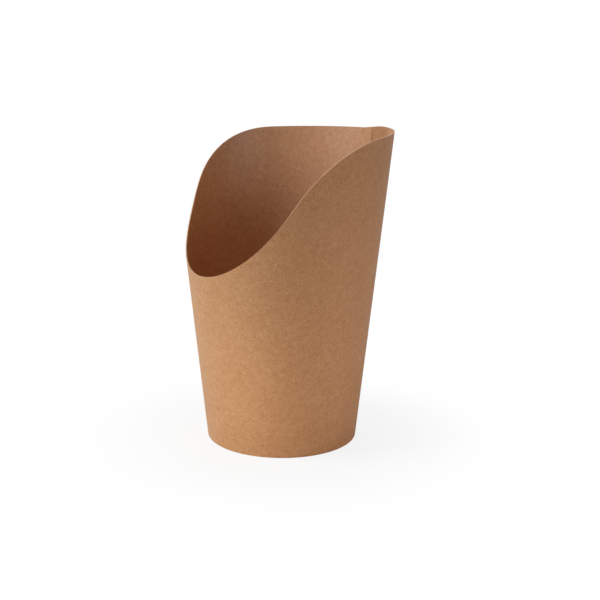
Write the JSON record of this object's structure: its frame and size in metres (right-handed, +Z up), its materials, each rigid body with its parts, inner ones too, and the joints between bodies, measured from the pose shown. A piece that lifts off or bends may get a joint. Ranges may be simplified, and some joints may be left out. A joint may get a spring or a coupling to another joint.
{
  "type": "paper wrap cup",
  "caption": "Tapered kraft board cup with a scooped mouth, a tall back with a glued lap seam, and a recessed base disc held in its folded foot.",
  "frame": {"origin": "centre of the foot ring, on the surface that the cup stands on", "axes": "+Z up along the cup's axis, +Y towards the tall back with the seam, -Y towards the low lip"},
  "size_m": [0.085, 0.0808, 0.1231],
  "materials": {
    "kraft_board": "matt kraft board, uncoated",
    "kraft_base": "matt kraft board, uncoated"
  },
  "bodies": {
    "root": {"sidewall": "kraft_board", "base_disc": "kraft_base"}
  },
  "joints": []
}
